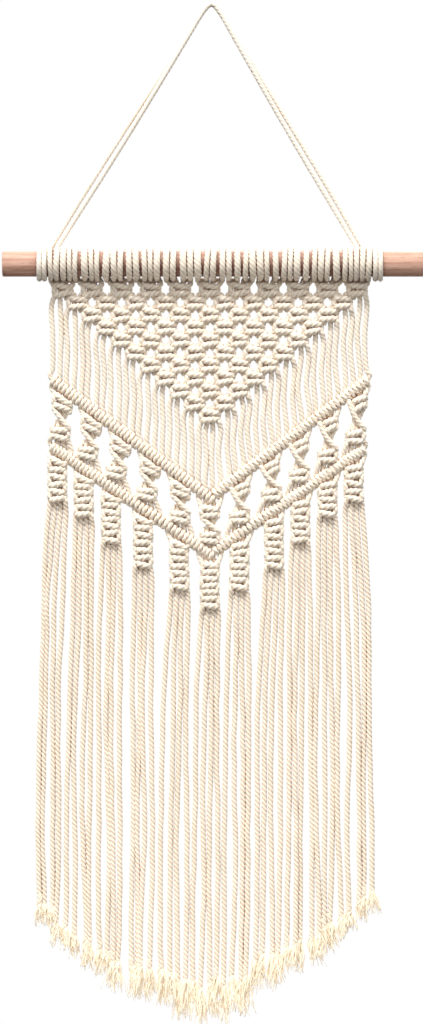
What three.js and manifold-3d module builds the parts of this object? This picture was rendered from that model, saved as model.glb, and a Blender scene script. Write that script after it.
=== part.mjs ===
// Macrame wall hanging: a wooden dowel on a doubled cord, with a knotted cotton panel and a long fringe.
// Millimetres, +Z up. The origin is where the hanger cord rests on the hook, and the front faces -Y.
// The cotton is one cord from the dowel to the fringe tips. It is modelled by section: mounting knots, net,
// drop cords, upper V, hourglass knots, lower V, sinnets and fringe.
import * as THREE from "three";
import { mergeVertices } from "three/addons/utils/BufferGeometryUtils.js";
import Module from "manifold-3d";

const wasm = await Module();
wasm.setup();

// Driving dimensions.
const CORD = 4.5; // diameter of the three-ply cord
const GAP = 0.3; // clearance between neighbouring pieces
const DOWEL_LENGTH = 400;
const DOWEL_RADIUS = 12;
const DOWEL_CHAMFER = 0.6;
const DOWEL_DROP = 246; // from the hook down to the dowel's axis
const COLUMNS = 11; // columns of four cords
const PITCH = 28; // column spacing
const PANEL_X = -3; // middle of the panel
const PANEL_Y = 8; // the cords leave the dowel at the back of its underside
const KNOT_DEPTH = 9; // thickness of the knotted parts, front to back
const KNOT_HALF_WIDTH = 9.5; // half the width of a square knot
const HANGER_Y = 12; // the hanger legs rise from the back of the dowel
const HANGER_FEET = [-158.5, 150]; // where the two legs would cross the dowel's axis
const FOOT_RISE = 15.4; // the legs end this far above the dowel's axis
const WRAP_WIDTH = 10; // two turns of the hanger at each end of the dowel
const FOLD_BULGE = CORD - 1; // how far the folded ends stand out behind the mounting knots
const SINNET_X = [-148, -123, -97, -66.5, -32, PANEL_X, 25, 58, 83, 109, 134]; // middle of each sinnet

// Heights, counted down from the dowel's axis.
const NET_TOP = 19;
const FIRST_ROW = 24.5;
const ROW_PITCH = 12;
const NET_HOLE = 3.8; // half the diagonal of a diamond hole
const NET_DEPTH = 8;
const OUTER_MARGIN = 2; // how far the outermost drop cords reach past the net
const VEE_HALF = 5.6; // half the thickness of a row of double half hitches
const VEE_BEVEL = 1.8;
const VEE_REACH = 156; // how far each arm reaches from the middle
const UPPER_VEE = { apex: -222, slope: 0.745 };
const LOWER_VEE = { apex: -275.5, slope: 0.68 };
const SINNET_BOTTOM = [227, 241, 266, 290, 310.5, 328]; // from the outer columns to the middle one
const SINNET_TURN = 6.8; // height of one half knot
const SINNET_WAIST = 1.2; // how far a sinnet's side dips between two half knots
const FRINGE_TIP = [639, 666, 683, 698, 708, 716, 708, 683, 666, 648, 630]; // tip of each bundle
const FRINGE_PITCH = 6.2; // spacing of the four cords in a bundle
const FRINGE_TOP_GAP = 2.5; // room for a bundle to swing below its sinnet
const WEB = 0.8; // thickness of the membrane that joins parallel cords into one solid

// Facets of the round pieces.
const DOWEL_SIDES = 28;
const SLEEVE_SIDES = 18;
const HANGER_STEPS = 48;

const wood = new THREE.MeshStandardMaterial({ color: 0xe6b48c, roughness: 0.55, metalness: 0 });
const cotton = () => new THREE.MeshStandardMaterial({ color: 0xf2e6d2, roughness: 0.95, metalness: 0 });
const hanging = new THREE.Group();
const belowDowel = new THREE.Group();
belowDowel.position.z = -DOWEL_DROP;
hanging.add(belowDowel);

const number = (k) => String(k + 1).padStart(2, "0");
const mix = (a, b, t) => a + (b - a) * t;
const columnX = (k) => PANEL_X + (k - (COLUMNS - 1) / 2) * PITCH;

function addMesh(name, geometry, material = cotton(), parent = belowDowel) {
  const mesh = new THREE.Mesh(geometry, material);
  mesh.name = name;
  parent.add(mesh);
}

// An outline drawn in X and Z, given thickness along Y around the plane of the panel.
function slab(outline, depth, bevel, holes = []) {
  const shape = new THREE.Shape(outline.map(([x, z]) => new THREE.Vector2(x, z)));
  for (const hole of holes) {
    shape.holes.push(new THREE.Path(hole.map(([x, z]) => new THREE.Vector2(x, z))));
  }
  const geometry = new THREE.ExtrudeGeometry(shape, {
    depth: depth - 2 * bevel,
    bevelEnabled: bevel > 0,
    bevelThickness: bevel,
    bevelSize: bevel,
    bevelOffset: -bevel,
    bevelSegments: 1,
  });
  geometry.rotateX(Math.PI / 2);
  geometry.translate(0, PANEL_Y + depth / 2 - bevel, 0);
  return geometry;
}

// Parallel upright cords joined by a thin membrane, standing from z = bottom to z = top.
function curtain(positions, bottom, top) {
  const radius = CORD / 2;
  const side = (sign) =>
    positions.flatMap((x) =>
      [0, 1, 2, 3].map((step) => {
        const angle = (Math.PI * step) / 3;
        const y = step % 3 === 0 ? WEB / 2 : radius * Math.sin(angle);
        return new THREE.Vector2(x - radius * Math.cos(angle), sign * y);
      }),
    );
  const shape = new THREE.Shape([...side(-1), ...side(1).reverse()]);
  const geometry = new THREE.ExtrudeGeometry(shape, { depth: top - bottom, bevelEnabled: false });
  geometry.translate(0, PANEL_Y, bottom);
  return geometry;
}

function toSolid(geometry) {
  const bare = geometry.clone();
  bare.deleteAttribute("normal");
  bare.deleteAttribute("uv");
  const merged = mergeVertices(bare, 1e-4);
  return new wasm.Manifold(
    new wasm.Mesh({
      numProp: 3,
      vertProperties: new Float32Array(merged.attributes.position.array),
      triVerts: new Uint32Array(merged.index.array),
    }),
  );
}

function toGeometry(solid) {
  const mesh = solid.getMesh();
  const geometry = new THREE.BufferGeometry();
  geometry.setAttribute("position", new THREE.BufferAttribute(mesh.vertProperties, 3));
  geometry.setIndex(new THREE.BufferAttribute(mesh.triVerts, 1));
  return geometry;
}

// A row of hitches is the band between two of these edges.
const veeLine = (vee, offset) => (x) => vee.apex + vee.slope * Math.abs(x - PANEL_X) + offset;
const veeHalfHeight = (vee) => VEE_HALF * Math.hypot(1, vee.slope);

function addDowel() {
  const half = DOWEL_LENGTH / 2;
  const profile = [
    new THREE.Vector2(0, -half),
    new THREE.Vector2(DOWEL_RADIUS - DOWEL_CHAMFER, -half),
    new THREE.Vector2(DOWEL_RADIUS, -half + DOWEL_CHAMFER),
    new THREE.Vector2(DOWEL_RADIUS, half - DOWEL_CHAMFER),
    new THREE.Vector2(DOWEL_RADIUS - DOWEL_CHAMFER, half),
    new THREE.Vector2(0, half),
  ];
  const geometry = new THREE.LatheGeometry(profile, DOWEL_SIDES);
  geometry.rotateZ(-Math.PI / 2);
  addMesh("dowel", geometry, wood);
}

// Cord turns that lie side by side on the dowel: a sleeve along X. On a mounting knot the folded ends of
// the cords also lie across the back.
function sleeve(centreX, width, withKnot) {
  const inner = DOWEL_RADIUS + 2 * GAP;
  const outer = DOWEL_RADIUS + GAP + CORD;
  const ring = (reachAt) =>
    Array.from({ length: SLEEVE_SIDES }, (_, i) => {
      const angle = (2 * Math.PI * i) / SLEEVE_SIDES;
      return new THREE.Vector2(reachAt(i) * Math.cos(angle), reachAt(i) * Math.sin(angle));
    });
  const onFold = (i) => withKnot && (i === 0 || i === SLEEVE_SIDES - 1);
  const shape = new THREE.Shape(ring((i) => (onFold(i) ? outer + FOLD_BULGE : outer)));
  shape.holes.push(new THREE.Path(ring(() => inner)));
  const geometry = new THREE.ExtrudeGeometry(shape, { depth: width, bevelEnabled: false });
  // The outline's first axis becomes Y, towards the wall, and its second becomes Z.
  geometry.applyMatrix4(new THREE.Matrix4().set(0, 0, 1, 0, 1, 0, 0, 0, 0, 1, 0, 0, 0, 0, 0, 1));
  geometry.translate(centreX - width / 2, 0, 0);
  return geometry;
}

function addTurnsOnDowel() {
  for (let k = 0; k < COLUMNS; k += 1) {
    addMesh(`mounting_knot_${number(k)}`, sleeve(columnX(k), PITCH - GAP, true));
  }
  const reach = (COLUMNS * PITCH + WRAP_WIDTH) / 2 + GAP;
  addMesh("hanger_wrap_left", sleeve(PANEL_X - reach, WRAP_WIDTH, false));
  addMesh("hanger_wrap_right", sleeve(PANEL_X + reach, WRAP_WIDTH, false));
}

// The two hanger strands run side by side from the turns at one end, over the hook, to the turns at the
// other. Seen from the front they lie next to each other on the legs, and on the hook one hides the other.
function addHanger() {
  const footHeight = FOOT_RISE - DOWEL_DROP;
  const crest = CORD / 2;
  const spread = (CORD + GAP) / 2;
  const section = new THREE.Shape();
  section.absarc(0, 0, CORD / 2, 0, 2 * Math.PI, false);
  for (const [name, shift] of [
    ["hanger_strand_inner", -spread],
    ["hanger_strand_outer", spread],
  ]) {
    const leg = (foot) =>
      [0, 0.12, 0.25, 0.4, 0.55, 0.7, 0.82, 0.91, 0.965].map((rise) => {
        const z = mix(footHeight, crest, rise);
        const turn = (rise * Math.PI) / 2;
        const slant = Math.hypot(1, foot / DOWEL_DROP) * Math.sign(foot);
        const x = (-foot * z) / DOWEL_DROP + slant * shift * Math.cos(turn);
        return new THREE.Vector3(x, HANGER_Y + shift * Math.sin(turn), z);
      });
    const crown = new THREE.Vector3(0, HANGER_Y + shift, crest);
    const points = [...leg(HANGER_FEET[0]), crown, ...leg(HANGER_FEET[1]).reverse()];
    const extrudePath = new THREE.CatmullRomCurve3(points, false, "centripetal");
    const geometry = new THREE.ExtrudeGeometry(section, {
      steps: HANGER_STEPS,
      extrudePath,
      curveSegments: 5,
    });
    addMesh(name, geometry, cotton(), hanging);
  }
}

function addNet() {
  const top = (r) => -(FIRST_ROW + (r - 0.5) * ROW_PITCH);
  const right = [];
  const holes = [];
  for (let r = 0; r < COLUMNS; r += 1) {
    const knots = COLUMNS - r;
    const edge = (knots * PITCH) / 2;
    right.push([PANEL_X + edge, r === 0 ? -NET_TOP : top(r)], [PANEL_X + edge, top(r + 1)]);
    for (let i = 1; i < knots; i += 1) {
      const x = PANEL_X + (i - knots / 2) * PITCH;
      const z = -(FIRST_ROW + r * ROW_PITCH);
      holes.push([[x - NET_HOLE, z], [x, z - NET_HOLE], [x + NET_HOLE, z], [x, z + NET_HOLE]]);
    }
  }
  const left = right.map(([x, z]) => [2 * PANEL_X - x, z]).reverse();
  addMesh("knotted_net", slab([...right, ...left], NET_DEPTH, 0, holes));
}

// Each drop cord hangs from a step of the net's edge down to the upper V.
function addDropCords() {
  const perSide = 2 * COLUMNS;
  const spacing = PITCH / 4;
  const toVee = veeLine(UPPER_VEE, veeHalfHeight(UPPER_VEE) + GAP);
  const bottomZ = UPPER_VEE.apex;
  for (const [name, sign] of [["drop_cords_left", -1], ["drop_cords_right", 1]]) {
    const xs = Array.from({ length: perSide }, (_, i) => PANEL_X + sign * (i + 0.5) * spacing);
    if (sign < 0) xs.reverse();
    const cords = toSolid(curtain(xs, bottomZ, -NET_TOP));
    const outline = [];
    for (let r = 0; r < COLUMNS; r += 1) {
      const edge = ((COLUMNS - r) * PITCH) / 2;
      const z = -(FIRST_ROW + (r + 0.5) * ROW_PITCH) - GAP;
      const inner = r === COLUMNS - 1 ? GAP : edge - PITCH / 2 + GAP;
      const outer = edge + (r === 0 ? OUTER_MARGIN : GAP);
      outline.push([PANEL_X + sign * outer, z], [PANEL_X + sign * inner, z]);
    }
    const innerX = PANEL_X + sign * GAP;
    const outerX = PANEL_X + sign * ((COLUMNS * PITCH) / 2 + OUTER_MARGIN);
    outline.push([innerX, toVee(innerX)], [outerX, toVee(outerX)]);
    if (sign > 0) outline.reverse();
    const region = toSolid(slab(outline, 3 * CORD, 0));
    addMesh(name, toGeometry(cords.intersect(region)));
  }
}

function addVee(name, vee) {
  const half = veeHalfHeight(vee);
  const upper = veeLine(vee, half);
  const lower = veeLine(vee, -half);
  for (const [side, sign] of [["left", -1], ["right", 1]]) {
    const middle = PANEL_X + sign * (GAP / 2);
    const end = PANEL_X + sign * VEE_REACH;
    const outline = [
      [middle, upper(middle)],
      [end, upper(end)],
      [end, lower(end)],
      [middle, lower(middle)],
    ];
    if (sign > 0) outline.reverse();
    addMesh(`${name}_${side}`, slab(outline, KNOT_DEPTH, VEE_BEVEL));
  }
}

// A knotted column between two edges. The profile lists [share of the way down, half width].
function knottedColumn(topX, bottomX, topEdge, bottomEdge, profile) {
  const at = (share, offset) => {
    const x = mix(topX, bottomX, share) + offset;
    return [x, mix(topEdge(x), bottomEdge(x), share)];
  };
  const last = profile.length - 1;
  return [
    at(0, 0),
    ...profile.map(([share, half]) => at(share, -half)),
    at(profile[last][0], 0),
    ...profile.toReversed().map(([share, half]) => at(share, half)),
  ];
}

function addKnottedColumns() {
  const waist = KNOT_HALF_WIDTH / 2;
  const hourglass = [
    [0, KNOT_HALF_WIDTH],
    [0.34, KNOT_HALF_WIDTH],
    [0.42, waist],
    [0.52, waist],
    [0.6, KNOT_HALF_WIDTH],
    [1, KNOT_HALF_WIDTH],
  ];
  const underUpper = veeLine(UPPER_VEE, -veeHalfHeight(UPPER_VEE) - GAP);
  const overLower = veeLine(LOWER_VEE, veeHalfHeight(LOWER_VEE) + GAP);
  const underLower = veeLine(LOWER_VEE, -veeHalfHeight(LOWER_VEE) - GAP);
  for (let k = 0; k < COLUMNS; k += 1) {
    const topX = columnX(k);
    const sinnetX = SINNET_X[k];
    const middleX = mix(topX, sinnetX, 0.7);
    const outline = knottedColumn(topX, middleX, underUpper, overLower, hourglass);
    addMesh(`hourglass_knot_${number(k)}`, slab(outline, KNOT_DEPTH, 0));

    const bottom = -sinnetBottom(k);
    const turns = Math.round((underLower(sinnetX) - bottom) / SINNET_TURN);
    const lobes = [];
    for (let i = 0; i <= 2 * turns; i += 1) {
      lobes.push([i / (2 * turns), KNOT_HALF_WIDTH - (i % 2 === 0 ? SINNET_WAIST : 0)]);
    }
    const sinnet = knottedColumn(sinnetX, sinnetX, underLower, () => bottom, lobes);
    addMesh(`sinnet_${number(k)}`, slab(sinnet, KNOT_DEPTH, 0));
  }
}

function sinnetBottom(k) {
  return SINNET_BOTTOM[Math.min(k, COLUMNS - 1 - k)];
}

function addFringe() {
  for (let k = 0; k < COLUMNS; k += 1) {
    const xs = [0, 1, 2, 3].map((i) => SINNET_X[k] + (i - 1.5) * FRINGE_PITCH);
    addMesh(`fringe_${number(k)}`, curtain(xs, -FRINGE_TIP[k], -sinnetBottom(k) - FRINGE_TOP_GAP));
  }
}

addDowel();
addTurnsOnDowel();
addHanger();
addNet();
addDropCords();
addVee("upper_vee", UPPER_VEE);
addKnottedColumns();
addVee("lower_vee", LOWER_VEE);
addFringe();

export default hanging;
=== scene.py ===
"""Macrame wall hanging: every cord is laid along one centreline from the dowel, through its knots, to its
frayed tip, and is then meshed as three twisted plies. Lengths are in millimetres until a mesh is made, but
the camera, the lights, the floor and the textures are set in metres."""
import math

import bmesh
import bpy
import numpy as np
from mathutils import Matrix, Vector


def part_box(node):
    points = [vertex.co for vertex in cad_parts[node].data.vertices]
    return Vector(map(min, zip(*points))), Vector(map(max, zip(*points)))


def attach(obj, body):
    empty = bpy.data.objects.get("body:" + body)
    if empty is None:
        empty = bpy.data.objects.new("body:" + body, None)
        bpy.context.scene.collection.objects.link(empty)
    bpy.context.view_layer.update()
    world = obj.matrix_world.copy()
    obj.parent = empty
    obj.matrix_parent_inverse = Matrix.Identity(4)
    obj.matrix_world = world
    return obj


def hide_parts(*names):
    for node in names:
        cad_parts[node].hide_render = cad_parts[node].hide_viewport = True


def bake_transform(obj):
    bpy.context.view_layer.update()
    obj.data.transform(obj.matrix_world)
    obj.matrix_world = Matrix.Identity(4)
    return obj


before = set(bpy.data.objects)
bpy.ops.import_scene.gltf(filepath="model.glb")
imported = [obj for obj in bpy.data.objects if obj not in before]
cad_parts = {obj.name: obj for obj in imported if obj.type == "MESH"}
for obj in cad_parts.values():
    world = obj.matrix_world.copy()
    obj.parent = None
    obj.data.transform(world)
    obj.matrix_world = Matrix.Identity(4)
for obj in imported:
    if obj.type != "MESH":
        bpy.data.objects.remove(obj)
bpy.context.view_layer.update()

MM = 0.001
SEED = 11
rng = np.random.default_rng(SEED)

# The cord.
CORD = 4.5  # diameter
LAY = 13.5  # length of one full turn of the plies
RING = 12  # points round a cord
STEP = 1.3  # spacing of the rings along a cord
PLIES = 3
GROOVE = 0.24  # depth of the valley between two plies, as a share of the radius
HANGER_GROOVE = 0.15
TURN_GROOVE = 0.16  # in the hanger's turns round the dowel
PLY_SHAPE = 0.8  # below 1 the plies are plump and the valleys between them narrow
PRESSED = 0.06  # widening of a cord at which its plies have merged
MERGED = 0.3  # share of the groove that merging fills
CENTIMETRE = 10.0
HANGING = 2.65  # radius of a cord that hangs freely, at the crown of its plies
KNOTTED = 2.55  # radius of a slack cord in a knot
PILLOW = 3.15  # radius of the bar across the front of a knot
ELBOW = 2.75  # radius of the cord where it turns back at the side of a knot
HITCHED = 2.45  # radius of a cord in a hitch
HOLDING = 2.1  # radius of a holding cord inside its hitches
LOOP_RADIUS = 2.35  # radius of a cord that is pulled tight round the dowel
TAIL_RADIUS = 2.9  # radius of the same cord where it leaves the loop

# The panel's layout, which the frame shares.
COLUMNS = 11
SLOTS = 4 * COLUMNS
NET_ROWS = COLUMNS
ROW_PITCH = 12.0
UPPER_SLOPE = 0.745
LOWER_SLOPE = 0.68
VEE_HALF = 5.6  # half the thickness of an arm of a V
KNOT_REACH = 7.6  # from a knot's middle to the centreline of its outermost cord
NET_REACH = 8.0  # the same in the net
NET_CORNER = (9.7, 5.6)  # where the outer cords enter a knot of the net, across and up from its middle
NET_CORE = (2.9, 2.7)  # how far from its middle the inner cords enter and leave a knot of the net
NET_TURN = 7.1  # spacing of the two bars of a square knot in the net
BOW_LEFT, BOW_RIGHT = 0.02, 0.045  # how far the drop cords bow towards the middle, as a share of their length
DROP_STEP = 18.0  # between two points of a drop cord
HITCH_RADIUS = 3.85  # centreline of a hitch round its holding cord


def node_box(name):
    low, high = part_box(name)
    return np.array(low) / MM, np.array(high) / MM


def middle(name):
    low, high = node_box(name)
    return (low + high) / 2


def number(k):
    return f"{k + 1:02d}"


DOWEL_LOW, DOWEL_HIGH = node_box("dowel")
DOWEL_Z = (DOWEL_LOW[2] + DOWEL_HIGH[2]) / 2
DOWEL_R = (DOWEL_HIGH[2] - DOWEL_LOW[2]) / 2
SNUG = DOWEL_R + 2.3  # from the dowel's axis to the centreline of a cord that lies on it
COLUMN_X = [middle(f"mounting_knot_{number(k)}")[0] for k in range(COLUMNS)]
PITCH = COLUMN_X[1] - COLUMN_X[0]
PANEL_X = COLUMN_X[COLUMNS // 2]
PANEL_Y = middle("knotted_net")[1]
SINNET_X = [middle(f"sinnet_{number(k)}")[0] for k in range(COLUMNS)]
SINNET_BOTTOM = [node_box(f"sinnet_{number(k)}")[0][2] for k in range(COLUMNS)]
FRINGE_TIP = [node_box(f"fringe_{number(k)}")[0][2] for k in range(COLUMNS)]
NET_LOW = node_box("knotted_net")[0][2]
FIRST_ROW = NET_LOW + (NET_ROWS - 0.5) * ROW_PITCH


class Vee:
    """A V of hitches: the line that its holding cords follow."""

    def __init__(self, node, slope):
        self.slope = slope
        self.apex = node_box(node)[0][2] + VEE_HALF * math.hypot(1, slope)

    def height(self, x):
        return self.apex + self.slope * abs(x - PANEL_X)


UPPER = Vee("upper_vee_left", UPPER_SLOPE)
LOWER = Vee("lower_vee_left", LOWER_SLOPE)
SLOT_X = PANEL_X + (np.arange(SLOTS) - (SLOTS - 1) / 2) * PITCH / 4
SINNET_SLOT_X = np.interp(
    (np.arange(SLOTS) - 1.5) / 4,
    np.arange(-1, COLUMNS + 1),
    [SINNET_X[0] - 0.6 * PITCH, *SINNET_X, SINNET_X[-1] + 0.6 * PITCH],
)
LOWER_SLOT_X = (SLOT_X + SINNET_SLOT_X) / 2
HEM_SPAN = (-171.0, 153.0)  # from the first cord to the last, at the hem
# The height of the hem, which rises steeply beyond the outermost sinnets.
HEM_X = [SINNET_X[0] - 20, *SINNET_X, SINNET_X[-1] + 20]
HEM_Z = [FRINGE_TIP[0] + 20, *FRINGE_TIP, FRINGE_TIP[-1] + 15]


# ---------------------------------------------------------------- shader nodes

def new_material(name):
    material = bpy.data.materials.new(name)
    material.use_nodes = True
    return material, material.node_tree.nodes, material.node_tree.links


def add_node(nodes, kind, values=None):
    node = nodes.new(kind)
    for socket, value in (values or {}).items():
        node.inputs[socket].default_value = value
    return node


def feed(links, socket, value):
    """Gives a socket a number, or links it to another node's output."""
    if isinstance(value, (int, float)):
        socket.default_value = value
    else:
        links.new(value, socket)


def math_node(nodes, links, operation, a, b=None):
    node = add_node(nodes, "ShaderNodeMath")
    node.operation = operation
    feed(links, node.inputs[0], a)
    if b is not None:
        feed(links, node.inputs[1], b)
    return node.outputs[0]


def range_node(nodes, links, value, given, wanted):
    """Maps the first range to the second one. What lies outside the range gets its nearest end."""
    node = add_node(nodes, "ShaderNodeMapRange", {"From Min": given[0], "From Max": given[1],
                                                  "To Min": wanted[0], "To Max": wanted[1]})
    links.new(value, node.inputs["Value"])
    return node.outputs[0]


def ramp_node(nodes, links, factor, stops):
    node = add_node(nodes, "ShaderNodeValToRGB")
    ramp = node.color_ramp
    while len(ramp.elements) < len(stops):
        ramp.elements.new(0.5)
    for element, (place, colour) in zip(ramp.elements, stops):
        element.position = place
        element.color = (*colour, 1)
    links.new(factor, node.inputs[0])
    return node.outputs[0]


def multiply_node(nodes, links, colour, layer, amount):
    mix = add_node(nodes, "ShaderNodeMix")
    mix.data_type = "RGBA"
    mix.blend_type = "MULTIPLY"
    feed(links, mix.inputs[0], amount)
    links.new(colour, mix.inputs[6])
    links.new(layer, mix.inputs[7])
    return mix.outputs[2]


def noise_node(nodes, links, where, scale, detail, stretch=None):
    """Noise over the coordinates where, which may be stretched first."""
    if stretch:
        mapping = add_node(nodes, "ShaderNodeMapping", {"Scale": stretch})
        links.new(where, mapping.inputs[0])
        where = mapping.outputs[0]
    noise = add_node(nodes, "ShaderNodeTexNoise", {"Scale": scale, "Detail": detail})
    links.new(where, noise.inputs["Vector"])
    return noise


def add_bump(nodes, links, height, strength, depth):
    bump = add_node(nodes, "ShaderNodeBump", {"Strength": strength, "Distance": depth})
    links.new(height, bump.inputs["Height"])
    links.new(bump.outputs[0], nodes["Principled BSDF"].inputs["Normal"])


def shade_node(nodes, links, reach, stops):
    """Painted shade: a colour that depends on how open the surface is within reach, given in metres, darkest
    where other surfaces are close.
    """
    openness = add_node(nodes, "ShaderNodeAmbientOcclusion", {"Distance": reach})
    openness.samples = 6
    return ramp_node(nodes, links, openness.outputs["AO"], stops)


# ---------------------------------------------------------------- camera, lights, floor

def make_camera():
    height = 0.9728  # of the view, at the dowel
    distance = 4.2
    centre = (-1.4 * MM, -481.6 * MM)
    data = bpy.data.cameras.new("camera")
    data.sensor_fit = "VERTICAL"
    data.sensor_height = 24
    data.lens = data.sensor_height * distance / height
    camera = bpy.data.objects.new("camera", data)
    camera.location = (centre[0], -distance, centre[1])
    camera.rotation_euler = (math.pi / 2, 0, 0)
    bpy.context.scene.collection.objects.link(camera)
    bpy.context.scene.camera = camera


def aim(obj, target):
    direction = np.array(target) - np.array(obj.location)
    flat = math.hypot(direction[0], direction[1])
    heading = math.atan2(direction[1], direction[0])
    obj.rotation_euler = (math.atan2(flat, -direction[2]), 0, heading - math.pi / 2)


def add_light(name, kind, power, place, target):
    data = bpy.data.lights.new(name, kind)
    data.energy = power
    light = bpy.data.objects.new(name, data)
    light.location = place
    aim(light, target)
    bpy.context.scene.collection.objects.link(light)
    return data


def make_light():
    """A sun from the upper left in front, a lamp behind, and a world that is white to the camera but gives
    its light mostly from above."""
    key = add_light("key", "SUN", 3.0, (-0.5, -1.45, 2.1), (0, 0, -0.35))
    key.color = (1.0, 0.985, 0.95)
    key.angle = math.radians(9)
    back = add_light("back", "AREA", 40, (0.6, 2.6, 1.6), (0, 0, -0.45))
    back.shape = "DISK"
    back.size = 1.8
    world = bpy.data.worlds.new("studio")
    bpy.context.scene.world = world
    world.use_nodes = True
    nodes, links = world.node_tree.nodes, world.node_tree.links
    nodes.clear()
    out = add_node(nodes, "ShaderNodeOutputWorld")
    seen = add_node(nodes, "ShaderNodeBackground", {"Color": (1, 1, 1, 1), "Strength": 1.0})
    place = add_node(nodes, "ShaderNodeTexCoord")
    split = add_node(nodes, "ShaderNodeSeparateXYZ")
    links.new(place.outputs["Generated"], split.inputs[0])
    sky = range_node(nodes, links, split.outputs[2], (-0.5, 0.15), (0.04, 1.13))
    lighting = add_node(nodes, "ShaderNodeBackground", {"Color": (1.0, 0.98, 0.95, 1)})
    links.new(sky, lighting.inputs["Strength"])
    path = add_node(nodes, "ShaderNodeLightPath")
    mix = add_node(nodes, "ShaderNodeMixShader")
    links.new(path.outputs["Is Camera Ray"], mix.inputs[0])
    links.new(lighting.outputs[0], mix.inputs[1])
    links.new(seen.outputs[0], mix.inputs[2])
    links.new(mix.outputs[0], out.inputs[0])
    bpy.context.scene.view_settings.view_transform = "Standard"


def make_floor():
    """A pale disc, lower than the camera sees."""
    sides = 96
    radius = 0.3
    height = -1.3
    angles = [2 * math.pi * i / sides for i in range(sides)]
    verts = [(radius * math.cos(angle), radius * math.sin(angle), height) for angle in angles]
    mesh = bpy.data.meshes.new("floor")
    mesh.from_pydata(verts, [], [list(range(sides))])
    floor = bpy.data.objects.new("floor", mesh)
    bpy.context.scene.collection.objects.link(floor)
    material, nodes, _ = new_material("floor_pale")
    shader = nodes["Principled BSDF"]
    shader.inputs["Base Color"].default_value = (0.86, 0.85, 0.83, 1)
    shader.inputs["Roughness"].default_value = 0.9
    mesh.materials.append(material)


# ---------------------------------------------------------------- tubes

def smooth_path(points, step=STEP):
    """A smooth curve through the points, and for each point its index on the curve."""
    p = np.array(points, float)
    gap = np.maximum(np.linalg.norm(np.diff(p, axis=0), axis=1), 1e-6)
    pace = np.sqrt(gap)
    tangent = np.zeros_like(p)
    rate = np.diff(p, axis=0) / pace[:, None]
    both = (pace[1:] + pace[:-1])[:, None]
    tangent[1:-1] = (rate[1:] * pace[:-1, None] + rate[:-1] * pace[1:, None]) / both
    tangent[0], tangent[-1] = rate[0], rate[-1]
    out, index = [p[:1]], [0]
    total = 1
    for i, length in enumerate(gap):
        n = max(1, round(length / step))
        t = (np.arange(n) + 1)[:, None] / n
        a, b = tangent[i] * pace[i], tangent[i + 1] * pace[i]
        h = t * t * (3 - 2 * t)
        out.append(p[i] * (1 - h) + p[i + 1] * h + a * t * (1 - t) ** 2 - b * t * t * (1 - t))
        total += n
        index.append(total - 1)
    return np.concatenate(out), index


def frames(line):
    """Two unit vectors across the line at each point, which turn as little as they can along it."""
    tangent = np.gradient(line, axis=0)
    tangent /= np.linalg.norm(tangent, axis=1)[:, None]
    start = np.cross(tangent[0], (0.0, 1.0, 0.0) if abs(tangent[0][1]) < 0.9 else (1.0, 0.0, 0.0))
    side = [start / np.linalg.norm(start)]
    sx, sy, sz = side[0]
    for tx, ty, tz in tangent[1:].tolist():
        dot = sx * tx + sy * ty + sz * tz
        sx, sy, sz = sx - dot * tx, sy - dot * ty, sz - dot * tz
        size = math.sqrt(sx * sx + sy * sy + sz * sz)
        sx, sy, sz = sx / size, sy / size, sz / size
        side.append((sx, sy, sz))
    side = np.array(side)
    return side, np.cross(tangent, side)


def cord_rings(line, radius, wide=None, phase=0.0, groove=GROOVE):
    """Rings of points of a twisted cord. radius and wide, a widening along X, may change along the line.
    Where the cord is pressed wide, its plies merge."""
    side, up = frames(line)
    along = np.concatenate([[0], np.cumsum(np.linalg.norm(np.diff(line, axis=0), axis=1))])
    angle = 2 * np.pi * np.arange(RING) / RING
    valley = 1 - np.abs(np.cos(PLIES / 2 * angle)) ** PLY_SHAPE
    turn = angle[None, :] - 2 * np.pi * along[:, None] / LAY + phase
    merge = 0.0 if wide is None else np.clip((wide - 1.0) / PRESSED, 0, 1)[:, None]
    crown = np.broadcast_to(radius, len(line))[:, None]
    reach = crown * (1 - groove * (1 - MERGED * merge) * valley[None, :])
    offset = (reach * np.cos(turn))[..., None] * side[:, None]
    offset = offset + (reach * np.sin(turn))[..., None] * up[:, None]
    if wide is not None:
        offset[..., 0] *= wide[:, None]
    return line[:, None] + offset, along


def mesh_from_arrays(name, verts, quads, caps, uv):
    """A mesh from arrays: quads is n by 4, caps are polygons, uv is one pair for each corner."""
    mesh = bpy.data.meshes.new(name)
    corners = np.concatenate([quads.ravel(), *[np.array(c) for c in caps]]).astype(np.int32)
    sizes = np.concatenate([np.full(len(quads), 4), [len(c) for c in caps]]).astype(np.int32)
    mesh.vertices.add(len(verts))
    mesh.vertices.foreach_set("co", (verts * MM).astype(np.float32).ravel())
    mesh.loops.add(len(corners))
    mesh.loops.foreach_set("vertex_index", corners)
    mesh.polygons.add(len(sizes))
    mesh.polygons.foreach_set("loop_start", np.concatenate([[0], np.cumsum(sizes)[:-1]]).astype(np.int32))
    mesh.polygons.foreach_set("loop_total", sizes)
    mesh.polygons.foreach_set("use_smooth", np.ones(len(sizes), bool))
    layer = mesh.uv_layers.new(name="cord")
    layer.data.foreach_set("uv", uv.astype(np.float32).ravel())
    mesh.update(calc_edges=True)
    mesh.validate()
    return mesh


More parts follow.
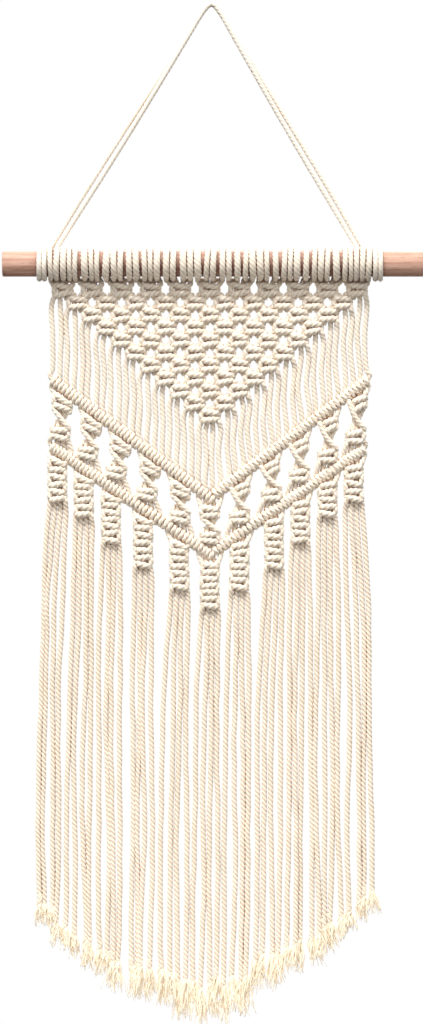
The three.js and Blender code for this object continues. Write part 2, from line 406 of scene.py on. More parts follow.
def tube_arrays(rings, along):
    """Corners, end caps and uv of a closed tube. u goes once round the cord, v is length in centimetres."""
    n, m = rings.shape[:2]
    i = np.arange(n - 1)[:, None] * m
    j = np.arange(m)[None, :]
    nxt = (j + 1) % m
    quads = np.stack([i + j, i + nxt, i + m + nxt, i + m + j], axis=-1).reshape(-1, 4)
    u0 = np.broadcast_to(j / m, (n - 1, m))
    u1 = np.broadcast_to((j + 1) / m, (n - 1, m))
    height = along / CENTIMETRE
    v0 = np.broadcast_to(height[:-1, None], (n - 1, m))
    v1 = np.broadcast_to(height[1:, None], (n - 1, m))
    uv = np.stack([np.stack([u0, v0], -1), np.stack([u1, v0], -1), np.stack([u1, v1], -1),
                   np.stack([u0, v1], -1)], axis=2).reshape(-1, 2)
    caps = [list(range(m))[::-1], list(range((n - 1) * m, n * m))]
    ends = np.concatenate([np.stack([np.arange(m)[::-1] / m, np.full(m, height[0])], -1),
                           np.stack([np.arange(m) / m, np.full(m, height[-1])], -1)])
    return quads, caps, np.concatenate([uv, ends])


def add_object(name, mesh, material):
    mesh.materials.append(material)
    obj = bpy.data.objects.new(name, mesh)
    bpy.context.scene.collection.objects.link(obj)
    return obj


def add_cord(name, rings, along, material):
    quads, caps, uv = tube_arrays(rings, along)
    return add_object(name, mesh_from_arrays(name, rings.reshape(-1, 3), quads, caps, uv), material)


# ---------------------------------------------------------------- tying

class Strand:
    """One cord end: the points that its centreline goes through, from the fold on the dowel downwards."""

    def __init__(self):
        self.points = []
        self.fat = []  # radius at each point
        self.wide = []  # widening along X at each point
        self.leaves_dowel = 0
        self.leaves_sinnet = 0

    def go(self, x, y, z, fat=HANGING, wide=1.0):
        self.points.append((x, y, z))
        self.fat.append(fat)
        self.wide.append(wide)


# Each list goes from the side where the working cord starts, +1, to the other side, -1: how far across, how
# far down in bar spacings, how far to the front in cord diameters, and the cord's radius there.
FRONT_BAR = [(0.95, -0.14, 0.4, ELBOW), (0.62, -0.12, 0.86, PILLOW - 0.1), (0.0, 0.0, 1.0, PILLOW),
             (-0.62, 0.1, 0.86, PILLOW - 0.1), (-0.94, 0.14, 0.4, ELBOW)]
FRONT_ELBOW = (-1.0, 0.5, 0.0, ELBOW)
BACK_BAR = [(1.0, -0.16, 0.55, ELBOW), (0.9, 0.06, -0.1, KNOTTED), (0.5, 0.08, -0.86, KNOTTED),
            (-0.5, 0.0, -0.86, KNOTTED), (-0.88, 0.0, -0.1, KNOTTED), (-1.0, 0.14, 0.55, ELBOW)]
BACK_ELBOW = (-1.03, 0.5, 0.62, ELBOW)
ELBOW_DOWN = 0.4  # points lower than this belong to the turn to the next bar
CORE_ACROSS = 0.35
CORE = 2.85  # radius of the two cords inside a knot


def half_knots(four, bars, pitch, reach=KNOT_REACH, shear=(0.0,), start=-1, plump=0.3):
    """Ties one half knot at each bar (x, z) and returns the four strands in their new order. pitch is the
    spacing of the bars. shear tilts them, each by its own amount or all by the last. start is the side that
    the first front bar comes from. plump thickens the middle of each front bar."""
    front, back = (four[0], four[3]) if start < 0 else (four[3], four[0])
    side = start
    for i, bar in enumerate(bars):
        last = i == len(bars) - 1
        tilt = shear[min(i, len(shear) - 1)]
        next_tilt = shear[min(i + 1, len(shear) - 1)]

        def lay(strand, across, down, out, fat):
            x = across * reach
            slope = tilt if down < ELBOW_DOWN else (tilt + next_tilt) / 2
            strand.go(bar[0] + x, PANEL_Y - out * CORD, bar[1] - down * pitch + slope * x, fat)

        for across, down, out, fat in FRONT_BAR if last else [*FRONT_BAR, FRONT_ELBOW]:
            swell = plump * max(0.0, 1 - across * across) if down < ELBOW_DOWN else 0.0
            lay(front, side * across, down, out, fat + swell)
        for across, down, out, fat in BACK_BAR if last else [*BACK_BAR, BACK_ELBOW]:
            lay(back, -side * across, down, out, fat)
        for core, across in zip(four[1:3], (-CORE_ACROSS, CORE_ACROSS)):
            lay(core, across, 0, 0, CORE)
        side = -side
    if (front is four[0]) == (side < 0):
        return four
    return [four[3], four[1], four[2], four[0]]


# One double half hitch: angle round the holding cord from the front over the top, place along the arm
# towards the middle, and distance from its axis in hitch radii.
HITCH = [(112, 3.0, 1.0), (180, 1.9, 1.0), (250, -0.6, 1.0), (315, -2.0, 1.0), (360, -2.3, 1.0),
         (405, -2.2, 1.0), (465, -1.6, 1.05), (540, 0.1, 1.6), (612, 1.8, 1.05), (675, 2.2, 1.0),
         (720, 2.3, 1.0), (765, 2.1, 1.0), (825, 1.1, 1.0), (900, -1.8, 1.0), (955, -2.9, 0.95)]


def hitch(strand, vee, x, side, spread=1.0):
    """A double half hitch round the holding cord at x. spread is its room along the arm, as a share of the
    usual spacing."""
    tilt = math.atan(vee.slope)
    inward = (-side * math.cos(tilt), -math.sin(tilt))
    upward = (-side * math.sin(tilt), math.cos(tilt))
    wobble = rng.uniform(-0.3, 0.3)
    pull = rng.uniform(0.96, 1.06)
    for angle, along, distance in HITCH:
        turn = math.radians(angle)
        reach = HITCH_RADIUS * distance * pull
        rise = reach * math.sin(turn)
        shift = (along + wobble) * spread
        strand.go(x + inward[0] * shift + upward[0] * rise, PANEL_Y - reach * math.cos(turn),
                  vee.height(x) + inward[1] * shift + upward[1] * rise, HITCHED)


# Half of a mounting knot. The angle starts at the middle of the fold, low behind the dowel, and goes under
# the dowel, up its front, over its top and down its back: 0 is the back, -90 the bottom and -180 the front.
# Then come the distance beyond SNUG, how much of the way from the fold to the loop's own x the cord has
# moved, and how wide it is pressed, where None is the loop's own width.
LOOP = [(-46, 6.3, 0.0, 1.0), (-47, 6.1, 0.55, 1.0), (-53, 4.9, 1.0, 1.0), (-69, 1.0, 1.0, 1.0),
        (-90, 0.0, 1.0, 1.04), (-125, 0.0, 1.0, None), (-155, 0.0, 1.0, None), (-180, 0.0, 1.0, None),
        (-210, 0.0, 1.0, None), (-240, 0.0, 1.0, None), (-270, 0.0, 0.97, None), (-300, 0.0, 0.85, 1.04),
        (-330, 0.0, 0.6, 1.0), (-360, 0.0, 0.2, 1.0), (-385, 0.0, 0.0, 1.0), (-402, 0.2, 0.0, 1.0)]
LOOP_STARTS = -60  # before this angle the cord is still in the bar of the fold
LOOP_LEANS = (-280, -120)  # between these angles, across the front, the cord leans to one side
LOOP_ENDS = -380  # past this angle the cord is no longer pulled tight
LOOP_SHARE = 0.96  # how much of its room on the dowel a loop fills
# Where the loops leave a gap on the dowel, and how wide the gap is.
WOOD_SHOWS = [-121, -100, -83, -64, -46, -31, -12, 3, 17, 27, 50, 59, 78, 88, 106, 115]
WOOD_GAP = 2.2


def loop_on_dowel(strand, fold_x, x, wide):
    """From the middle of the fold at fold_x, round the dowel at x, and down between dowel and fold."""
    lean = rng.uniform(-0.8, 0.8)
    tail = fold_x + (x - fold_x) * 0.95
    for angle, off, share, width in LOOP:
        turn = math.radians(angle)
        reach = SNUG + off
        base = fold_x if angle > LOOP_STARTS else tail
        sway = lean * math.sin(turn) if LOOP_LEANS[0] < angle < LOOP_LEANS[1] else 0.0
        strand.go(base + (x - base) * share + sway, reach * math.cos(turn), DOWEL_Z + reach * math.sin(turn),
                  LOOP_RADIUS if angle > LOOP_ENDS else TAIL_RADIUS, width or wide)


def loop_places():
    """Where each of the loops lies on the dowel, and how wide the cord is pressed there."""
    room = 1.0 + rng.uniform(-0.2, 0.2, SLOTS)
    gap = np.zeros(SLOTS)
    for x in WOOD_SHOWS:
        gap[np.searchsorted(SLOT_X, x)] += WOOD_GAP * rng.uniform(0.8, 1.25)
    room *= (SLOTS * PITCH / 4 - gap.sum()) / room.sum()
    right = SLOT_X[0] - PITCH / 8 + np.cumsum(room + gap)
    return right - room / 2, LOOP_SHARE * room / 2 / LOOP_RADIUS


def tie_mounts(strands):
    """Two strands next to each other are the two halves of one folded cord."""
    places, widths = loop_places()
    for s, strand in enumerate(strands):
        first = s - s % 2
        loop_on_dowel(strand, places[first:first + 2].mean(), places[s], widths[s])
        strand.leaves_dowel = len(strand.points) - 1


def tie_net(strands):
    """Rows of square knots. Each row has one knot fewer than the row above it, and each of its knots takes
    two cords from each of the two knots above."""
    for row in range(NET_ROWS):
        knots = COLUMNS - row
        for i in range(knots):
            x = PANEL_X + (i - (knots - 1) / 2) * PITCH + rng.uniform(-0.3, 0.3)
            z = FIRST_ROW - row * ROW_PITCH + rng.uniform(-0.3, 0.3)
            first = 2 * row + 4 * i
            four = strands[first:first + 4]
            for outer, across in zip((four[0], four[3]), (-1, 1)):
                outer.go(x + across * NET_CORNER[0], PANEL_Y - 0.4, z + NET_CORNER[1], KNOTTED)
            if row:
                for core, across in zip(four[1:3], (-1, 1)):
                    core.go(x + across * NET_CORE[0], PANEL_Y - 0.6, z + NET_TURN / 2 + 4.0, KNOTTED)
            bars = [(x, z + NET_TURN / 2), (x, z - NET_TURN / 2)]
            reach = NET_REACH + rng.uniform(-0.3, 0.3)
            half_knots(four, bars, NET_TURN, reach, (rng.uniform(-0.1, 0.16), rng.uniform(-0.16, 0.12)))
            for core, across in zip(four[1:3], (-1, 1)):
                core.go(x + across * NET_CORE[1], PANEL_Y, z - NET_TURN / 2 - 4.0, KNOTTED)


def drop_to_vee(strands):
    """The plain cords between the net and the upper V, which bow towards the middle."""
    for slot_x, strand in zip(SLOT_X, strands):
        x = slot_x + rng.uniform(-0.7, 0.7)
        top = strand.points[-1][2]
        stretch = top - (UPPER.height(x) + 9)
        rate = -BOW_RIGHT if x > PANEL_X else BOW_LEFT
        most = rate * stretch * rng.uniform(0.6, 1.1)
        for share in np.linspace(0.12, 1, max(2, int(stretch / DROP_STEP))):
            bow = most * math.sin(math.pi * share) ** 2
            strand.go(x + bow + rng.uniform(-0.6, 0.6), PANEL_Y + rng.uniform(-0.8, 0.8),
                      top - share * stretch)


def tie_panel():
    """Ties the whole hanging from the dowel down, and returns the strands in their order at the hem."""
    strands = [Strand() for _ in range(SLOTS)]
    tie_mounts(strands)
    tie_net(strands)
    drop_to_vee(strands)
    order = tie_vee(strands, UPPER, SLOT_X)
    order = tie_hourglasses(order)
    order = tie_vee(order, LOWER, LOWER_SLOT_X)
    return tie_sinnets(order)


def tie_vee(order, vee, slot_x):
    """The outermost strand of each side runs down inside its arm, and every other strand hitches on it."""
    half = SLOTS // 2
    for side, holding, workers in ((-1, order[0], order[1:half]), (1, order[-1], order[half:-1][::-1])):
        outermost = slot_x[0] if side < 0 else slot_x[-1]
        reach = abs(outermost - PANEL_X) - 0.6
        steps = 12
        holding.go(PANEL_X + side * (reach + 2.2), PANEL_Y, vee.height(outermost) + 5, KNOTTED)
        for i in range(steps):
            x = PANEL_X + side * (reach - i * (reach - 5) / (steps - 1))
            holding.go(x, PANEL_Y + 0.3, vee.height(x), HOLDING)
        for i, strand in enumerate(workers):
            slot = i if side < 0 else SLOTS - 1 - i
            inner = i + 1 if side < 0 else SLOTS - 2 - i
            x = (slot_x[slot] + slot_x[inner]) / 2
            hitch(strand, vee, x, side, abs(slot_x[inner] - slot_x[slot]) / (PITCH / 4))
    # At the apex the left holding cord hitches too, and the right one leaves below it.
    left, right = order[0], order[-1]
    hitch(left, vee, PANEL_X, -1)
    right.go(PANEL_X + 3, PANEL_Y + 1, vee.apex - 4, KNOTTED)
    right.go(PANEL_X + 5, PANEL_Y + 0.5, vee.apex - 8, KNOTTED)
    return [*order[1:half], left, right, *order[half:-1]]


# Between the two knots of an hourglass the cords draw together to a neck. Each list is one cord's way: how
# far across in knot reaches, how far down the column, and how far to the front in cord diameters. The left
# cord crosses in front. On the right of the panel it leaves the V above at once and runs straight to the V
# below.
NECK = 0.42  # how far across the outer cords lie at the neck
LEFT_CROSSING = [(-0.95, 0.30, 0.5), (-NECK, 0.40, 0.95), (0.1, 0.49, 1.05), (0.65, 0.58, 1.05),
                 (1.1, 0.665, 0.75)]
RIGHT_CROSSING = [(-1.0, 0.06, 0.7), (-0.72, 0.19, 0.95), (-0.34, 0.33, 1.1), (0.12, 0.46, 1.1),
                  (0.64, 0.58, 1.05), (1.12, 0.68, 0.75)]
CROSSED = [(0.68, 0.32, 0.0), (NECK, 0.42, -0.3), (0.0, 0.51, -0.8), (-0.6, 0.58, -0.5), (-0.95, 0.65, 0.0)]
CORE_ONE = [(-0.2, 0.38, 0.0), (-0.16, 0.50, 0.0), (-0.22, 0.60, 0.0)]
CORE_TWO = [(0.24, 0.38, 0.0), (0.2, 0.50, 0.0), (0.24, 0.60, 0.0)]
# The two bars of each knot and their spacing, as shares of the column's height.
LEFT_UPPER = (0.07, 0.235)
RIGHT_UPPER = (0.06, 0.225)
LOWER_BARS = (0.73, 0.885)
UPPER_TURN, LOWER_TURN = 0.165, 0.155
NECK_TILT, LOWER_TILT = 0.3, 0.2  # tilt of the neck and of the lower knot, as shares of the upper knot's tilt
BESIDE = 2.3  # how far the upper knot moves over where it is tied beside the crossing cord
NARROWER = 1.7  # how much less it then reaches


def tie_hourglasses(order):
    """Two square knots in each column, and between them a neck, where the left cord crosses to the right. On
    the right of the panel the upper knot is tied without the crossing cord, with the other three."""
    under = -(VEE_HALF + 1) * math.hypot(1, UPPER_SLOPE)
    over = (VEE_HALF + 1) * math.hypot(1, LOWER_SLOPE)
    result = []
    for k in range(COLUMNS):
        four = order[4 * k:4 * k + 4]
        top_x, low_x = COLUMN_X[k], 0.3 * COLUMN_X[k] + 0.7 * SINNET_X[k]
        side = np.sign(round(top_x - PANEL_X))
        top, low = UPPER.height(top_x) + under, LOWER.height(low_x) + over
        height = top - low
        lean = side * rng.uniform(0.58, 0.72)

        def spot(share):
            return (top_x + share * (low_x - top_x), top - share * height)

        turn = UPPER_TURN * height
        tilts = (lean, 0.8 * lean)
        if side > 0:
            left, one, two, right = four
            beside = [(x + BESIDE, z) for x, z in map(spot, RIGHT_UPPER)]
            spare = Strand()  # stands in for the missing inner cord, and is thrown away
            tied = [one, two, spare, right]
            one, two, _, right = half_knots(tied, beside, turn, KNOT_REACH - NARROWER, tilts)
            crossing = RIGHT_CROSSING
        else:
            left, one, two, right = half_knots(four, [spot(share) for share in LEFT_UPPER], turn, shear=tilts)
            crossing = LEFT_CROSSING
        for strand, way in ((left, crossing), (right, CROSSED), (one, CORE_ONE), (two, CORE_TWO)):
            for across, share, out in way:
                x, z = spot(share)
                strand.go(x + across * KNOT_REACH, PANEL_Y - out * CORD,
                          z + NECK_TILT * lean * across * KNOT_REACH, KNOTTED)
        bars = [spot(share) for share in LOWER_BARS]
        tilts = (LOWER_TILT * lean,)
        result += half_knots([right, one, two, left], bars, LOWER_TURN * height, shear=tilts, start=1)
    return result


SINNET_REACH = KNOT_REACH - 0.6
SINNET_PITCH = 6.9  # about the spacing of the bars of a sinnet
SINNET_PLUMP = 0.5


def tie_sinnets(order):
    """A column of half knots under each hourglass, which then lets go of its four cords."""
    result = []
    for k in range(COLUMNS):
        four = order[4 * k:4 * k + 4]
        x = SINNET_X[k]
        top = LOWER.height(x) - (VEE_HALF + 0.5) * math.hypot(1, LOWER_SLOPE)
        room = top - SINNET_BOTTOM[k]
        count = max(4, round(room / SINNET_PITCH))
        pitch = room / (count + 0.1)
        side = np.sign(round(x - PANEL_X))
        bars = [(x + rng.uniform(-0.5, 0.5), top - (i + 0.56 + rng.uniform(-0.05, 0.05)) * pitch)
                for i in range(count)]
        tilts = [0.35 * side, 0.15 * side, *[rng.uniform(-0.14, 0.14) for _ in range(count - 2)]]
        four = half_knots(four, bars, pitch, SINNET_REACH, tilts, plump=SINNET_PLUMP)
        for strand in four:
            strand.leaves_sinnet = len(strand.points) - 1
        hang_fringe(k, four)
        result += four
    return result


FRAY_MIDDLE, FRAY_SIDE = 33.0, 19.0  # length of the frayed tips at the middle and at the sides
TAPER = 5.0  # a cord narrows to its end over this length, inside its frayed tip
FRINGE_SPACING = 5.4  # between the four cords just below a sinnet


def fray_length(x):
    """Length of the frayed tip of a cord that ends at x."""
    side = min(1.0, abs(x - PANEL_X) / (SINNET_X[-1] - PANEL_X))
    return FRAY_MIDDLE + (FRAY_SIDE - FRAY_MIDDLE) * side ** 1.5


def hang_fringe(k, four):
    """Four cords that hang from a sinnet, spread to fill the fringe, and end where their tips start to
    fray."""
    for j, strand in enumerate(four):
        top_x = SINNET_X[k] + (j - 1.5) * FRINGE_SPACING
        even = np.interp(4 * k + j, (0, SLOTS - 1), HEM_SPAN)
        low_x = 0.75 * even + 0.25 * top_x + rng.uniform(-1.2, 1.2)
        top = SINNET_BOTTOM[k] - 8
        tip = np.interp(low_x, HEM_X, HEM_Z) + fray_length(low_x) + rng.uniform(-6, 6)
        depth = rng.uniform(-1.8, 1.8)
        bow = rng.uniform(-1.8, 1.8)
        drift = rng.uniform(-2.2, 2.2)
        swing, waves, phase = rng.uniform(0.5, 1.7), rng.uniform(1.5, 3.2), rng.uniform(0, 2 * math.pi)
        strand.go(top_x, PANEL_Y + 0.3 * depth, top)
        steps = 16
        for i in range(1, steps + 1):
            share = i / steps
            ease = min(1.0, 1.6 * share)
            x = top_x + (low_x - top_x) * ease * (2 - ease)
            x = x + bow * math.sin(math.pi * share) + drift * share ** 3
            x += swing * min(1.0, 4 * share) * math.sin(waves * math.pi * share + phase)
            wave = rng.uniform(-0.45, 0.45)
            strand.go(x + wave, PANEL_Y + depth * share + 0.8 * wave, top - share * (top - tip))
        x, y, z = strand.points[-1]
        strand.go(x, y, z - TAPER, 0.35 * HANGING)


# ---------------------------------------------------------------- materials

WHITE = (1.0, 1.0, 1.0)
# Reach of the painted shade between cords.
CREVICE_SHADE_REACH = 0.0045  # metres


def make_cotton(name, peak, valley, crevice_shade=None, depth=CREVICE_SHADE_REACH):
    """Twisted cotton: pale ply crowns, and grooves painted darker and warmer as shade between the plies, fine
    fibres that run along the plies. The crevice colour is painted shade that the cotton takes on deep between
    two cords, where little light reaches."""
    material, nodes, links = new_material(name)
    shader = nodes["Principled BSDF"]
    for socket, value in (("Roughness", 0.93), ("Sheen Weight", 0.2), ("Sheen Roughness", 0.6),
                          ("Specular IOR Level", 0.2)):
        shader.inputs[socket].default_value = value
    uv = add_node(nodes, "ShaderNodeUVMap")
    uv.uv_map = "cord"
    split = add_node(nodes, "ShaderNodeSeparateXYZ")
    links.new(uv.outputs[0], split.inputs[0])
    angle = math_node(nodes, links, "MULTIPLY", split.outputs[0], 2 * PLIES * math.pi)
    lobe = math_node(nodes, links, "COSINE", angle)
    crown = math_node(nodes, links, "ADD", math_node(nodes, links, "MULTIPLY", lobe, 0.5), 0.5)
    # The valley colour in the grooves between the plies is painted shade, and the pale crowns stand out
    # against it.
    between = tuple((p + v) / 2 for p, v in zip(peak, valley))
    colour = ramp_node(nodes, links, crown, [(0.0, valley), (0.38, between), (0.75, peak)])

    fibre = noise_node(nodes, links, uv.outputs[0], 1.6, 3, stretch=(26, 3.2, 1)).outputs[0]
    place = add_node(nodes, "ShaderNodeTexCoord")
    patch = noise_node(nodes, links, place.outputs["Object"], 45, 2).outputs[0]
    streak = ramp_node(nodes, links, fibre, [(0.3, (0.88, 0.84, 0.78)), (0.65, WHITE)])
    blotch = ramp_node(nodes, links, patch, [(0.35, (0.96, 0.94, 0.91)), (0.65, WHITE)])
    colour = multiply_node(nodes, links, colour, streak, 0.7)
    colour = multiply_node(nodes, links, colour, blotch, 0.8)
    # Painted shade: where ambient occlusion finds other cords close, the cotton darkens towards the crevice
    # colour.
    if crevice_shade:
        shade = shade_node(nodes, links, depth, [(0.12, crevice_shade), (0.62, WHITE)])
        colour = multiply_node(nodes, links, colour, shade, 1.0)
    links.new(colour, shader.inputs["Base Color"])
    add_bump(nodes, links, fibre, 0.5, 0.0004)
    return material


def make_frayed_cotton():
    """Opened fibres with a painted glow: a weak emission stands in for light that passes through them."""
    material = make_cotton("cotton_frayed", (0.98, 0.90, 0.76), (0.95, 0.84, 0.68))
    shader = material.node_tree.nodes["Principled BSDF"]
    # Painted glow, which lifts the shade among the fibres.
    shader.inputs["Emission Color"].default_value = (1.0, 0.86, 0.66, 1)
    shader.inputs["Emission Strength"].default_value = 0.1
    return material


def make_wood():
    """Sanded beech: long pale and pinkish streaks along the rod, with short dark flecks. Painted shade
    darkens it beside the loops, and least at the top of the rod, where the light from above falls."""
    material, nodes, links = new_material("beech")
    shader = nodes["Principled BSDF"]
    shader.inputs["Specular IOR Level"].default_value = 0.35
    place = add_node(nodes, "ShaderNodeTexCoord")
    grain_noise = noise_node(nodes, links, place.outputs["Object"], 2.0, 5, stretch=(6, 150, 150))
    grain_noise.inputs["Roughness"].default_value = 0.6
    grain = grain_noise.outputs[0]
    fleck = noise_node(nodes, links, place.outputs["Object"], 1.5, 2, stretch=(60, 900, 900)).outputs[0]
    streaks = [(0.3, (0.46, 0.24, 0.18)), (0.5, (0.60, 0.36, 0.27)), (0.72, (0.74, 0.50, 0.39))]
    base = ramp_node(nodes, links, grain, streaks)
    dots = ramp_node(nodes, links, fleck, [(0.32, (0.62, 0.5, 0.45)), (0.42, WHITE)])
    colour = multiply_node(nodes, links, base, dots, 0.7)

    # Painted shade: dark red where ambient occlusion finds the loops close by, weaker towards the top of the
    # rod.
    shade = shade_node(nodes, links, 0.01, [(0.3, (0.16, 0.045, 0.045)), (0.92, WHITE)])
    height = add_node(nodes, "ShaderNodeSeparateXYZ")
    links.new(place.outputs["Generated"], height.inputs[0])
    amount = range_node(nodes, links, height.outputs[2], (0.4, 0.95), (1.0, 0.3))
    colour = multiply_node(nodes, links, colour, shade, amount)
    links.new(colour, shader.inputs["Base Color"])
    rough = math_node(nodes, links, "ADD", math_node(nodes, links, "MULTIPLY", grain, 0.25), 0.42)
    links.new(rough, shader.inputs["Roughness"])
    add_bump(nodes, links, grain, 0.25, 0.0003)
    return material


# ---------------------------------------------------------------- hanger and dowel

FOOT_RISE = 15.4  # the hanger's legs end this far above the dowel's axis
HANGER_FEET = (-162.0, 150.0)  # where the legs would cross the dowel's axis
HANGER_Y = 12.0
HANGER_RADIUS = 2.45
STRAND_APART = 2.4  # from the middle between the two strands to either of them
HOOK_X = -1.5  # middle of the bend over the hook
HOOK_BEND = 5.0  # half the width of the bend
TURN_RADIUS = 2.4
TURN_BEHIND = {"inner": 4.4, "outer": 4.8}  # how far each turn passes behind the loops
TURN_WIDE = 1.05  # how wide a turn is pressed on the rod


def hanger_leg(foot, way):
    """Points of a strand from its foot almost up to the hook. way tells the inner strand, -1, from the outer
    one, 1. The strands lie side by side at the foot and one behind the other at the hook."""
    drop = -DOWEL_Z
    crest = CORD / 2
    side = math.copysign(1, foot)
    top_x = HOOK_X + side * HOOK_BEND
    slant = math.hypot(1, foot / drop) * side
    leg = []
    for rise in (0, 0.12, 0.25, 0.4, 0.55, 0.7, 0.82, 0.91, 0.97):
        z = (FOOT_RISE - drop) * (1 - rise) + (crest - HOOK_BEND) * rise
        shift = way * (STRAND_APART + 0.7 * math.sin(math.pi * rise))
        turn = rise ** 1.5 * math.pi / 2
        x = top_x + (foot - top_x) * -z / drop + slant * shift * math.cos(turn)
        leg.append((x, HANGER_Y + shift * math.sin(turn), z))
    return leg


def make_hanger():
    """The doubled cord over the hook, and one turn of each of its strands round each end of the dowel."""
    crest = CORD / 2
    shoulder = crest - 1.9
    for name, way in (("inner", -1), ("outer", 1)):
        legs = [hanger_leg(foot, way) for foot in HANGER_FEET]
        y = HANGER_Y + STRAND_APART * way
        top = [(HOOK_X - 0.7 * HOOK_BEND, y, shoulder), (HOOK_X, y, crest),
               (HOOK_X + 0.7 * HOOK_BEND, y, shoulder)]
        line, _ = smooth_path([*legs[0], *top, *legs[1][::-1]], 1.6)
        rings, along = cord_rings(line, HANGER_RADIUS, groove=HANGER_GROOVE)
        cord = add_cord(f"hanger_cord_{name}", rings, along, hanger_cotton)
        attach(cord, "hanger")
        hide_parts(f"hanger_strand_{name}")
        for foot, leg, side in zip(HANGER_FEET, legs, ("left", "right")):
            make_turn(name, side, math.copysign(1, foot), leg)


def make_turn(name, side, sign, leg):
    """From the foot of a leg, down behind the loops, round the dowel once, and tucked in at the back."""
    low, high = node_box(f"hanger_wrap_{side}")
    mid = (low[0] + high[0]) / 2
    x = mid + (STRAND_APART if name == "outer" else -STRAND_APART) * sign
    behind = TURN_BEHIND[name]
    foot = np.array(leg[0])
    up = np.array(leg[1])
    entry = foot + (up - foot) / np.linalg.norm(up - foot) * 2
    points = [tuple(entry), tuple(foot)]
    points.append((foot[0] + 0.35 * (x - foot[0]), SNUG + behind + 0.5, DOWEL_Z + 4))
    points.append((foot[0] + 0.75 * (x - foot[0]), SNUG + behind, DOWEL_Z - 3.5))
    for angle in range(-48, -400, -24):
        turn = math.radians(angle)
        share = min(1.0, max(0.0, (-angle - 40) / 40))
        reach = SNUG + behind * 0.55 * (1 - share)
        drift = 0.5 * sign * (angle + 200) / 200
        points.append((x + drift, reach * math.cos(turn), DOWEL_Z + reach * math.sin(turn)))
    line, _ = smooth_path(points)
    wide = np.ones(len(line))
    on_rod = np.linalg.norm(line[:, 1:] - [0, DOWEL_Z], axis=1) < SNUG + 1
    wide[on_rod] = TURN_WIDE
    wide = np.convolve(np.pad(wide, 4, mode="edge"), np.ones(9) / 9, mode="valid")
    rings, along = cord_rings(line, TURN_RADIUS, wide, groove=TURN_GROOVE)
    turn_piece = add_cord(f"hanger_turn_{side}_{name}", rings, along, hanger_cotton)
    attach(turn_piece, "hanger")
    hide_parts(f"hanger_wrap_{side}")


def make_dowel():
    """A sanded rod with softly rounded ends."""
    sides = 96
    low, high = DOWEL_LOW[0], DOWEL_HIGH[0]
    end = [(low, 0.0), (low, 0.5 * DOWEL_R), (low, DOWEL_R - 1.0), (low + 0.25, DOWEL_R - 0.4),
           (low + 0.9, DOWEL_R)]
    shaft = [(x, DOWEL_R) for x in np.linspace(low + 6, high - 6, 60)]
    profile = [*end, *shaft, *[(high + low - x, r) for x, r in end[::-1]]]
    verts, faces = [], []
    for x, r in profile:
        verts += [(x * MM, r * math.cos(2 * math.pi * i / sides) * MM,
                   (DOWEL_Z + r * math.sin(2 * math.pi * i / sides)) * MM) for i in range(sides)]
    for ring in range(len(profile) - 1):
        for i in range(sides):
            a, b = ring * sides + i, ring * sides + (i + 1) % sides
            faces.append((a, b, b + sides, a + sides))
    mesh = bpy.data.meshes.new("dowel_rod")
    mesh.from_pydata(verts, [], faces)
    bm = bmesh.new()
    bm.from_mesh(mesh)
    bmesh.ops.remove_doubles(bm, verts=bm.verts, dist=1e-7)
    bmesh.ops.recalc_face_normals(bm, faces=bm.faces)
    bm.to_mesh(mesh)
    bm.free()
    mesh.polygons.foreach_set("use_smooth", [True] * len(mesh.polygons))
    rod = add_object("dowel_rod", mesh, beech)
    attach(rod, "dowel")
    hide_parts("dowel")


# ---------------------------------------------------------------- the cords and their frayed tips

LOCKS = 30  # locks of fibre in a frayed tip
TUFT_ABOVE = 7.0  # the locks leave the cord this far above its taper


def make_tuft(name, run):
    """Loose fibres of an opened cord end. They leave the cord a little above its end, keep some of its twist,
    and curl and spread as they hang."""
    sides, steps = 5, 12
    end = run[-1] + [0, 0, TAPER]
    lean = (run[-1] - run[-12]) / np.linalg.norm(run[-1] - run[-12])
    lean = lean + [rng.uniform(-0.14, 0.14), rng.uniform(-0.1, 0.1), 0]
    length = fray_length(end[0]) * rng.uniform(0.92, 1.12)
    flare = rng.uniform(0.85, 1.25)
    t = np.linspace(0, 1, steps + 1)
    ring_angle = 2 * np.pi * np.arange(sides) / sides
    verts, quads, caps, side_uv, cap_uv = [], [], [], [], []
    for i in range(LOCKS):
        start = 2 * math.pi * (i % PLIES) / PLIES + rng.uniform(-0.8, 0.8)
        inner = HANGING * rng.uniform(0.3, 0.8)
        outer = flare * rng.uniform(0.8, 7.8)
        reach = length * rng.uniform(0.55, 1.18)
        curl = rng.uniform(0.5, 1.8, 2)
        phase = rng.uniform(0, 2 * math.pi, 2)
        waves = rng.uniform(5, 12)
        drop = t * (reach + TUFT_ABOVE) - TUFT_ABOVE
        angle = start - 2 * math.pi * np.minimum(drop, 4) / LAY
        out = inner + (outer - inner) * np.clip(drop / length, 0, None) ** 0.85
        loose = np.clip(drop / 8, 0, 1)
        x = out * np.cos(angle) + loose * curl[0] * np.sin(waves * t + phase[0])
        y = 0.8 * out * np.sin(angle) + loose * curl[1] * np.sin(waves * t + phase[1])
        line = end + np.stack([x, y, np.zeros_like(x)], -1) + lean * drop[:, None]
        side, up = frames(line)
        radius = (rng.uniform(0.45, 1.0) * (1 - 0.65 * t ** 2.5))[:, None]
        ring = line[:, None] + (radius * np.cos(ring_angle))[..., None] * side[:, None]
        ring = ring + (radius * np.sin(ring_angle))[..., None] * up[:, None]
        lock_quads, lock_caps, uv = tube_arrays(ring, drop)
        first = i * (steps + 1) * sides
        verts.append(ring.reshape(-1, 3))
        quads.append(lock_quads + first)
        caps += [[v + first for v in cap] for cap in lock_caps]
        side_uv.append(uv[:len(lock_quads) * 4])
        cap_uv.append(uv[len(lock_quads) * 4:])
    mesh = mesh_from_arrays(name, np.concatenate(verts), np.concatenate(quads), caps,
                            np.concatenate(side_uv + cap_uv))
    return add_object(name, mesh, frayed_cotton)


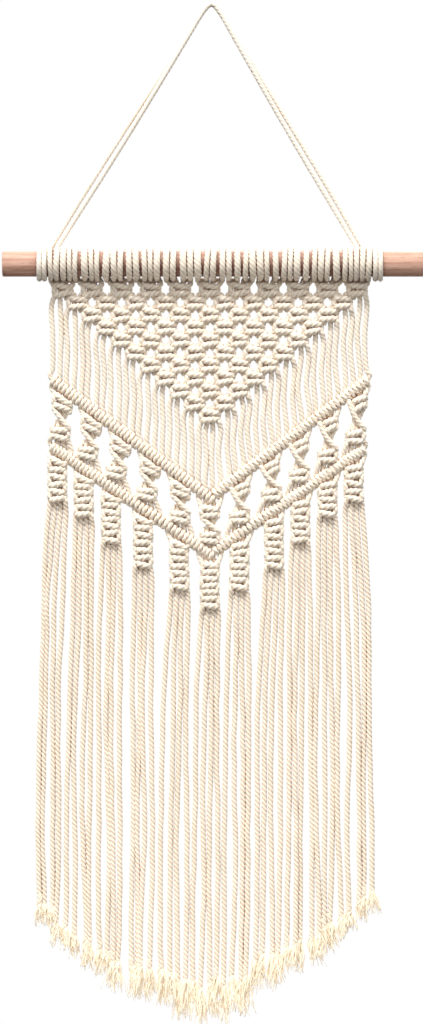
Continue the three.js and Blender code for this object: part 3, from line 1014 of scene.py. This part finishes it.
def replaced_sections():
    """The knotted sections of the frame that the cords stand for."""
    names = ["knotted_net", "drop_cords_left", "drop_cords_right", "upper_vee_left", "upper_vee_right",
             "lower_vee_left", "lower_vee_right"]
    for k in range(COLUMNS):
        names += [f"hourglass_knot_{number(k)}", f"sinnet_{number(k)}"]
    return names


def make_folded_cord(m, a, b, slot_of):
    """Meshes the folded cord m, whose halves are the strands a and b, and cuts it where the sections meet."""
    line, index = smooth_path(a.points[::-1] + b.points[1:])
    fat = np.interp(np.arange(len(line)), index, a.fat[::-1] + b.fat[1:])
    wide = np.interp(np.arange(len(line)), index, a.wide[::-1] + b.wide[1:])
    rings, along = cord_rings(line, fat, wide, rng.uniform(0, 2 * math.pi))
    fold = len(a.points) - 1
    a_sinnet, a_dowel = index[fold - a.leaves_sinnet], index[fold - a.leaves_dowel]
    b_dowel, b_sinnet = index[fold + b.leaves_dowel], index[fold + b.leaves_sinnet]
    name = f"cord_{number(m)}"

    loop = slice(a_dowel, b_dowel + 1)
    piece = add_cord(f"{name}_mounting_knot", rings[loop], along[loop], loop_cotton)
    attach(piece, "hanger")
    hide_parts(f"mounting_knot_{number(m // 2)}")

    for half, strand, knotted, hanging in (
        ("left", a, slice(a_sinnet, a_dowel + 1), slice(0, a_sinnet + 1)),
        ("right", b, slice(b_dowel, b_sinnet + 1), slice(b_sinnet, len(line))),
    ):
        slot_index = slot_of[id(strand)]
        k = slot_index // 4
        piece = add_cord(f"{name}_{half}_knotted", rings[knotted], along[knotted], cotton)
        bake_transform(piece)
        if m == 0 and half == "left":
            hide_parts(*replaced_sections())

        piece = add_cord(f"{name}_{half}_fringe", rings[hanging], along[hanging], fringe_cotton)
        body = f"fringe_{number(k)}"
        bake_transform(piece)
        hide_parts(f"fringe_{number(k)}")

        run = line[hanging] if half == "right" else line[hanging][::-1]
        tuft = make_tuft(f"{name}_{half}_frayed_tip", run)
        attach(tuft, body)


def make_cords(ordered):
    """The strands come in their order at the hem. Sorted by their fold, and then by the side of the fold that
    they lie on, they come in pairs that are one folded cord."""
    slot_of = {id(strand): i for i, strand in enumerate(ordered)}
    halves = sorted(ordered, key=lambda strand: strand.points[0][0] + 0.001 * strand.points[6][0])
    for m in range(SLOTS // 2):
        make_folded_cord(m, halves[2 * m], halves[2 * m + 1], slot_of)


# ---------------------------------------------------------------- the scene

make_camera()
make_light()
make_floor()

# One cotton in four copies, whose differences are painted light and shade: the loops' copy is darker, the
# hanger's lighter, and the fringe's has deeper painted shade in its grooves and between its cords.
cotton = make_cotton("cotton_knotted", (0.97, 0.92, 0.83), (0.85, 0.72, 0.595), (0.70, 0.55, 0.47))
loop_cotton = make_cotton("cotton_loops", (0.95, 0.90, 0.81), (0.79, 0.68, 0.58), (0.66, 0.48, 0.42))
fringe_cotton = make_cotton("cotton_fringe", (0.98, 0.92, 0.82), (0.74, 0.575, 0.44), (0.6, 0.42, 0.32),
                            depth=0.003)
hanger_cotton = make_cotton("cotton_hanger", (0.99, 0.95, 0.88), (0.95, 0.88, 0.79), (0.66, 0.52, 0.44))
frayed_cotton = make_frayed_cotton()
beech = make_wood()

strands_at_hem = tie_panel()
make_dowel()
make_hanger()
make_cords(strands_at_hem)
